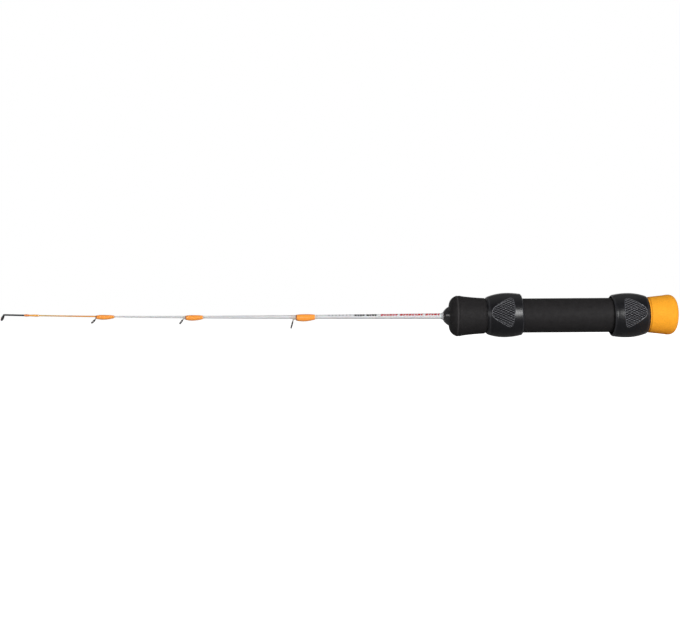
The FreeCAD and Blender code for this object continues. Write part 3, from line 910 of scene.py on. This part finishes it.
def make_world():
    """A white background that lights the rod only as much as AMBIENT."""
    world = bpy.data.worlds.new("studio")
    bpy.context.scene.world = world
    world.use_nodes = True
    tree = world.node_tree
    lit = tree.nodes["Background"]
    lit.inputs["Color"].default_value = WHITE
    lit.inputs["Strength"].default_value = AMBIENT
    seen = tree.nodes.new("ShaderNodeBackground")
    seen.inputs["Color"].default_value = WHITE
    light_path_mix(tree, seen.outputs[0], lit.outputs[0], tree.nodes["World Output"].inputs["Surface"])


def make_floor():
    """A pale floor under the rod, which glows for the camera so that it meets the background unseen."""
    material = bpy.data.materials.new("studio_floor")
    material.use_nodes = True
    tree = material.node_tree
    shader = tree.nodes["Principled BSDF"]
    shader.inputs["Base Color"].default_value = FLOOR_GREY
    shader.inputs["Roughness"].default_value = 0.9
    shader.inputs["Specular IOR Level"].default_value = 0.0
    glow = tree.nodes.new("ShaderNodeEmission")
    glow.inputs["Strength"].default_value = FLOOR_GLOW
    both = tree.nodes.new("ShaderNodeAddShader")
    tree.links.new(shader.outputs[0], both.inputs[0])
    tree.links.new(glow.outputs[0], both.inputs[1])
    light_path_mix(tree, both.outputs[0], shader.outputs[0], tree.nodes["Material Output"].inputs["Surface"])
    z = cad_box[0].z
    corners = [(x * FLOOR_HALF, y * FLOOR_HALF, z) for x, y in ((-1, -1), (1, -1), (1, 1), (-1, 1))]
    mesh = bpy.data.meshes.new("floor")
    mesh.from_pydata(corners, [], [(0, 1, 2, 3)])
    floor = bpy.data.objects.new("floor", mesh)
    bpy.context.scene.collection.objects.link(floor)
    mesh.materials.append(material)


def add_light(name, place, target, size, power):
    """A soft panel at a place, turned to a target."""
    data = bpy.data.lights.new(name, "AREA")
    data.shape = "RECTANGLE"
    data.size, data.size_y = size
    data.energy = power
    light = bpy.data.objects.new(name, data)
    bpy.context.scene.collection.objects.link(light)
    light.location = place
    light.rotation_euler = (target - place).to_track_quat("-Z", "Y").to_euler()
    light.visible_camera = False


def make_lights():
    """The studio's soft panels."""
    middle = Vector((middle_x(), 0.0, 0.0))
    for name, place, target, size, power in LIGHTS:
        add_light(name, middle + Vector(place), middle + Vector(target), size, power)


# ---- The whole rod ----
def assign(material, *names):
    """Gives CAD nodes a material."""
    for name in names:
        nodes[name].data.materials.clear()
        nodes[name].data.materials.append(material)


def make_studio():
    """Camera, background, floor and lights."""
    bpy.context.scene.view_settings.view_transform = "Standard"
    make_camera()
    make_world()
    make_floor()
    make_lights()


def make_handle():
    """Both foam grips, both clamp rings and the looks of the nose and of what lies inside."""
    black_foam = foam_material("black_foam", BLACK_FOAM, shine=0.13)
    orange_foam = foam_material("orange_foam", ORANGE_FOAM, shine=0.08)
    make_main_grip(black_foam)
    make_butt_grip(orange_foam)
    plastic = ring_material()
    make_ring("front_ring", -1, plastic)
    make_ring("rear_ring", 1, plastic)
    assign(nose_material(), "nose_cone")
    assign(inner_material("arbor_plastic", ARBOR_PLASTIC, roughness=0.6), "grip_arbors")
    assign(inner_material("handle_epoxy", HANDLE_EPOXY, roughness=0.3), "grip_adhesive")


def make_windings():
    """Thread and epoxy on the three guides and the tip-top, and the epoxy fillet at the nose."""
    thread = thread_material("orange_thread", ORANGE_THREAD)
    trim = thread_material("trim_thread", TRIM_THREAD)
    tip_thread = thread_material("tip_thread", TIP_THREAD)
    tip_trim = thread_material("tip_trim_thread", TIP_TRIM_THREAD)
    epoxy = epoxy_material("clear_epoxy", CLEAR_EPOXY, cover=0.12)
    for name in GUIDE_NAMES:
        make_thread(name + "_thread", name + "_wrap", (thread, trim), TRIM_TURNS)
        make_coat(name + "_coat", name + "_finish", epoxy)
    make_thread("tip_thread", "tip_wrap", (tip_thread, tip_trim), TIP_TRIM_TURNS)
    make_coat("tip_coat", "tip_finish", epoxy)
    assign(epoxy_material("bead_epoxy", BEAD_EPOXY, cover=0.6), "nose_bead")


def finish_guides():
    """Looks of the guides' and the tip-top's frames and hard rings."""
    steel = metal_material("guide_steel", GUIDE_STEEL, rough=(0.10, 0.22), metallic=1.0, size=0.4 * MM)
    hard = metal_material("hard_ring", HARD_RING, rough=(0.08, 0.20), metallic=0.0, size=0.5 * MM)
    black = metal_material("black_metal", BLACK_METAL, rough=(0.28, 0.45), metallic=0.0, size=0.5 * MM)
    assign(steel, *(name + "_frame" for name in GUIDE_NAMES))
    assign(hard, "tip_top_insert", *(name + "_insert" for name in GUIDE_NAMES))
    assign(black, "tip_top_frame")


def main():
    """Everything, with the blank painted up to the middle of the first guide's wrap."""
    make_studio()
    wrap_low, wrap_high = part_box("guide_1_wrap")
    make_blank(blank_material(paint_end=(wrap_low.x + wrap_high.x) / 2))
    make_printed_rows()
    make_handle()
    make_windings()
    finish_guides()


main()
